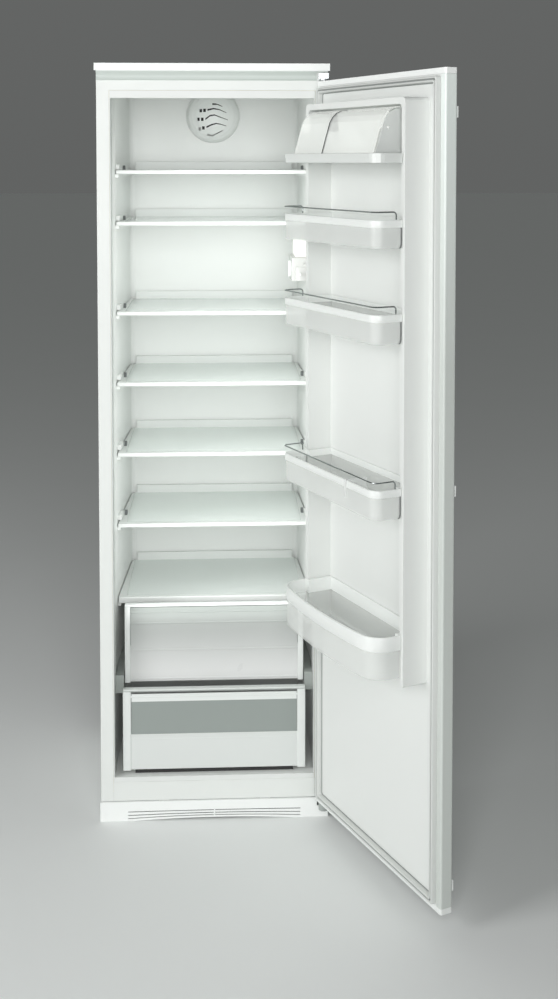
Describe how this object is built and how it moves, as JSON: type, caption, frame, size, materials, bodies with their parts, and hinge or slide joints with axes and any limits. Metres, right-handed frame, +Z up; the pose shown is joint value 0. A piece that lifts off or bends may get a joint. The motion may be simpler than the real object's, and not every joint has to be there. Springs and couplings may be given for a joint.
{
  "type": "built-in larder refrigerator",
  "caption": "Tall built-in refrigerator with its door open, glass shelves, crisper drawers, balconies and a covered dairy box on the door.",
  "frame": {"origin": "middle of the cabinet's footprint, on the flat underside of the base", "axes": "+Z up, -Y towards the front, where the door closes, +X towards the hinge side"},
  "size_m": [0.7509, 1.0106, 1.775],
  "materials": {
    "white_enamel": "semi-gloss white enamel",
    "white_plastic": "satin white moulded plastic",
    "liner_plastic": "vacuum-formed white plastic, fine grain",
    "grey_plastic": "light grey moulded plastic",
    "gasket_rubber": "soft white seal",
    "foam": "rigid foam",
    "zinc_steel": "zinc-coated sheet",
    "black_enamel": "black baked paint",
    "aluminium": "mill finish",
    "chrome": "polished plating",
    "shelf_glass": "clear toughened glass with a green edge",
    "clear_plastic": "translucent clear plastic",
    "lamp_plastic": "opal lens"
  },
  "bodies": {
    "cabinet": {"outer_case": "white_enamel", "back_panel": "zinc_steel", "base_frame": "zinc_steel", "insulation_foam": "foam", "inner_liner": "liner_plastic", "evaporator_plate": "aluminium", "lower_front_rail": "white_enamel", "top_trim": "white_plastic", "base_grille": "white_plastic", "top_hinge_bracket": "zinc_steel", "bottom_hinge_bracket": "grey_plastic", "fan_cover": "white_plastic", "fan_motor": "black_enamel", "control_housing": "white_plastic", "lamp_lens": "lamp_plastic", "drawer_runner_left": "grey_plastic", "drawer_runner_right": "grey_plastic", "compressor": "black_enamel", "drip_tray": "grey_plastic", "terminal_box": "grey_plastic", "condenser": "black_enamel"},
    "door": {"door_skin": "white_enamel", "door_top_cap": "white_plastic", "door_bottom_cap": "white_plastic", "door_foam": "foam", "door_liner": "liner_plastic", "door_gasket": "gasket_rubber", "panel_slider_top": "white_plastic", "panel_slider_middle": "white_plastic", "panel_slider_bottom": "white_plastic"},
    "impeller": {"fan_impeller": "grey_plastic"},
    "knob": {"thermostat_knob": "white_plastic"},
    "switch_plunger": {"light_switch_plunger": "white_plastic"},
    "crisper_lid": {"crisper_cover_frame": "white_plastic", "crisper_cover_glass": "shelf_glass"},
    "upper_drawer_box": {"upper_drawer": "clear_plastic"},
    "lower_drawer_box": {"lower_drawer": "clear_plastic"},
    "dairy": {"dairy_box": "white_plastic"},
    "dairy_lid_a": {"dairy_lid_left": "clear_plastic"},
    "dairy_lid_b": {"dairy_lid_right": "clear_plastic"},
    "balcony_two": {"balcony_2": "clear_plastic", "balcony_2_rail": "chrome"},
    "balcony_three": {"balcony_3": "clear_plastic", "balcony_3_rail": "chrome"},
    "balcony_four": {"balcony_4": "clear_plastic", "balcony_4_rail": "chrome"},
    "bottle_bin": {"bottle_balcony": "clear_plastic"},
    "divider": {"bottle_divider": "clear_plastic"},
    "shelf_1": {"shelf_1_frame": "white_plastic", "shelf_1_glass": "shelf_glass"},
    "shelf_2": {"shelf_2_frame": "white_plastic", "shelf_2_glass": "shelf_glass"},
    "shelf_3": {"shelf_3_frame": "white_plastic", "shelf_3_glass": "shelf_glass"},
    "shelf_4": {"shelf_4_frame": "white_plastic", "shelf_4_glass": "shelf_glass"},
    "shelf_5": {"shelf_5_frame": "white_plastic", "shelf_5_glass": "shelf_glass"},
    "shelf_6": {"shelf_6_frame": "white_plastic", "shelf_6_glass": "shelf_glass"}
  },
  "joints": [
    {"name": "door_swing", "type": "hinge", "parent": "cabinet", "child": "door", "pos_m": [0.256, -0.261, 0.89], "axis": [0, 0, 1], "range_deg": [-113.7, 4]},
    {"name": "fan_spin", "type": "hinge", "parent": "cabinet", "child": "impeller", "pos_m": [-0.002, 0.1767, 1.669], "axis": [0, 1, 0], "continuous": true},
    {"name": "thermostat_turn", "type": "hinge", "parent": "cabinet", "child": "knob", "pos_m": [0.1922, -0.009, 1.284], "axis": [-1, 0, 0], "range_deg": [0, 300]},
    {"name": "switch_press", "type": "slide", "parent": "cabinet", "child": "switch_plunger", "axis": [0, 1, 0], "range_m": [0, 0.004], "stiffness_N_per_m": 300, "springref_m": -0.003},
    {"name": "shelf_1_pull", "type": "slide", "parent": "cabinet", "child": "shelf_1", "axis": [0, -1, 0], "range_m": [0, 0.18]},
    {"name": "shelf_2_pull", "type": "slide", "parent": "cabinet", "child": "shelf_2", "axis": [0, -1, 0], "range_m": [0, 0.18]},
    {"name": "shelf_3_pull", "type": "slide", "parent": "cabinet", "child": "shelf_3", "axis": [0, -1, 0], "range_m": [0, 0.18]},
    {"name": "shelf_4_pull", "type": "slide", "parent": "cabinet", "child": "shelf_4", "axis": [0, -1, 0], "range_m": [0, 0.18]},
    {"name": "shelf_5_pull", "type": "slide", "parent": "cabinet", "child": "shelf_5", "axis": [0, -1, 0], "range_m": [0, 0.18]},
    {"name": "shelf_6_pull", "type": "slide", "parent": "cabinet", "child": "shelf_6", "axis": [0, -1, 0], "range_m": [0, 0.18]},
    {"name": "crisper_cover_lift", "type": "slide", "parent": "cabinet", "child": "crisper_lid", "axis": [0, 0, 1], "range_m": [0, 0.1]},
    {"name": "upper_drawer_pull", "type": "slide", "parent": "cabinet", "child": "upper_drawer_box", "axis": [0, -1, 0], "range_m": [0, 0.2]},
    {"name": "lower_drawer_pull", "type": "slide", "parent": "cabinet", "child": "lower_drawer_box", "axis": [0, -1, 0], "range_m": [0, 0.18]},
    {"name": "dairy_box_pull", "type": "slide", "parent": "door", "child": "dairy", "axis": [-0.9157, -0.402, 0], "range_m": [0, 0.05]},
    {"name": "dairy_lid_left_turn", "type": "hinge", "parent": "dairy", "child": "dairy_lid_a", "pos_m": [0.30646, -0.59488, 1.618], "axis": [-0.402, 0.9157, 0], "range_deg": [0, 75]},
    {"name": "dairy_lid_right_turn", "type": "hinge", "parent": "dairy", "child": "dairy_lid_b", "pos_m": [0.23411, -0.43006, 1.618], "axis": [-0.402, 0.9157, 0], "range_deg": [0, 75]},
    {"name": "balcony_2_lift", "type": "slide", "parent": "door", "child": "balcony_two", "axis": [0, 0, 1], "range_m": [0, 0.04]},
    {"name": "balcony_3_lift", "type": "slide", "parent": "door", "child": "balcony_three", "axis": [0, 0, 1], "range_m": [0, 0.04]},
    {"name": "balcony_4_lift", "type": "slide", "parent": "door", "child": "balcony_four", "axis": [0, 0, 1], "range_m": [0, 0.04]},
    {"name": "bottle_balcony_lift", "type": "slide", "parent": "door", "child": "bottle_bin", "axis": [0, 0, 1], "range_m": [0, 0.04]},
    {"name": "divider_shift", "type": "slide", "parent": "balcony_four", "child": "divider", "axis": [-0.402, 0.9157, 0], "range_m": [-0.08, 0.24]}
  ]
}
